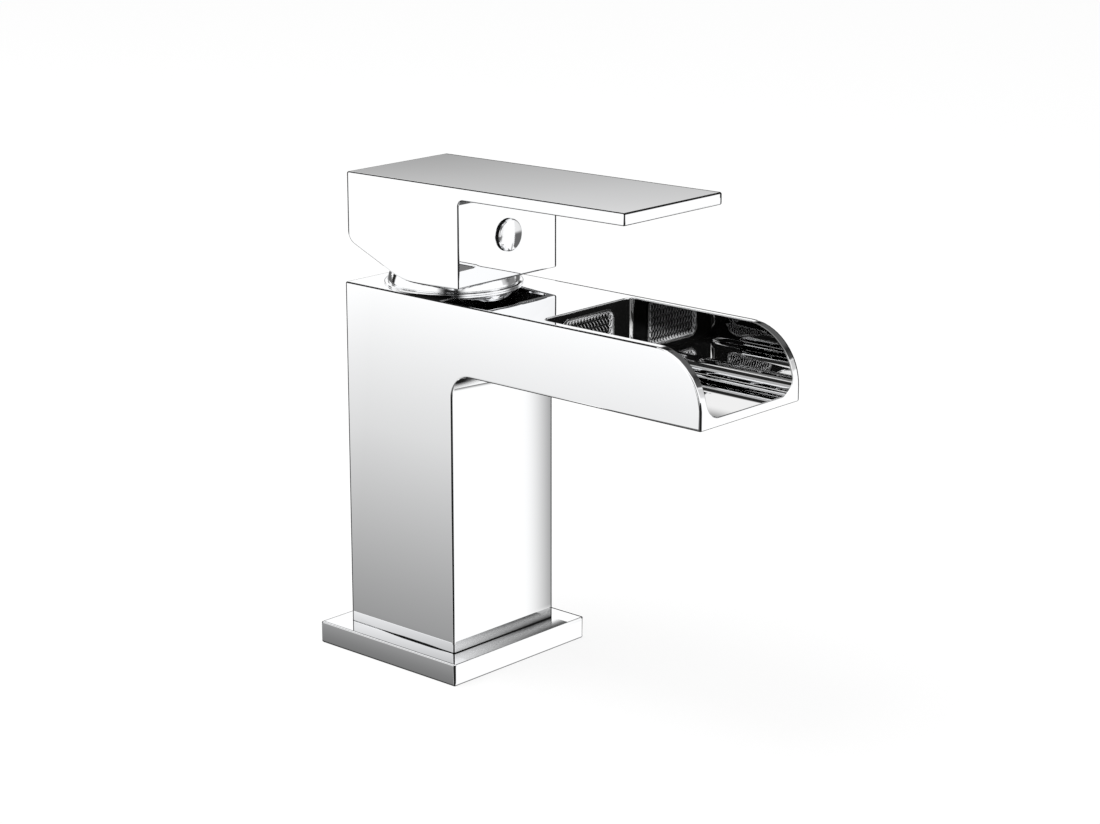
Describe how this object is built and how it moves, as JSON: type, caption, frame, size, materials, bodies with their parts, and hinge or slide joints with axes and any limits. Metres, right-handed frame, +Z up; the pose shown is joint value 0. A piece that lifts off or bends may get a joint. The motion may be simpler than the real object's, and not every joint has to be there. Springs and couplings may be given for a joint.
{
  "type": "waterfall basin faucet",
  "caption": "Square single-lever basin mixer with an open trough spout, ceramic-disc cartridge and a flat lever that lifts and turns.",
  "frame": {"origin": "centre of the fixing stud's hole on the deck plane, under the column's axis", "axes": "+Z up out of the deck, +X along the spout towards the basin, +Y to the right of a user who stands in front of the spout and faces the faucet"},
  "size_m": [0.1375, 0.055, 0.1427],
  "materials": {
    "polished_chrome": "mirror-polished chrome plate on brass",
    "mesh_steel": "woven stainless mesh",
    "bare_steel": "turned stainless steel",
    "plain_brass": "machined brass",
    "white_plastic": "moulded acetal",
    "carrier_plastic": "moulded glass-filled plastic",
    "black_plastic": "moulded black acetal",
    "ceramic": "lapped alumina",
    "black_rubber": "smooth rubber"
  },
  "bodies": {
    "faucet": {"faucet_body": "polished_chrome", "base_plate": "polished_chrome", "base_seal": "black_rubber", "inlet_block": "plain_brass", "inlet_gasket": "black_rubber", "outlet_frame": "polished_chrome", "outlet_mesh": "mesh_steel", "flow_straightener": "black_plastic", "cartridge_base": "white_plastic", "port_seals": "black_rubber", "disc_seals": "black_rubber", "fixed_disc": "ceramic", "cartridge_housing": "white_plastic", "slip_washer": "white_plastic", "cartridge_nut": "plain_brass", "dome_seal": "black_rubber", "dome_ring": "polished_chrome"},
    "turner": {"rotor": "carrier_plastic", "rotor_seal": "black_rubber", "pivot_pin": "bare_steel"},
    "lever": {"handle": "polished_chrome", "spindle": "plain_brass", "set_screw": "bare_steel", "indicator_button": "polished_chrome"},
    "mixing_disc": {"moving_disc": "ceramic", "disc_carrier": "carrier_plastic"}
  },
  "joints": [
    {"name": "temperature_turn", "type": "hinge", "parent": "faucet", "child": "turner", "pos_m": [0.002, 0, 0.106], "axis": [0, 0, 1], "range_deg": [-45, 45]},
    {"name": "flow_lift", "type": "hinge", "parent": "turner", "child": "lever", "pos_m": [0.002, 0, 0.106], "axis": [0, -1, 0], "range_deg": [0, 21]},
    {"name": "disc_slide", "type": "slide", "parent": "turner", "child": "mixing_disc", "axis": [1, 0, 0], "range_m": [0, 0.0036]}
  ],
  "couplings": [
    {"joint": "disc_slide", "follows": "flow_lift", "m_per_rad": 0.00978}
  ]
}
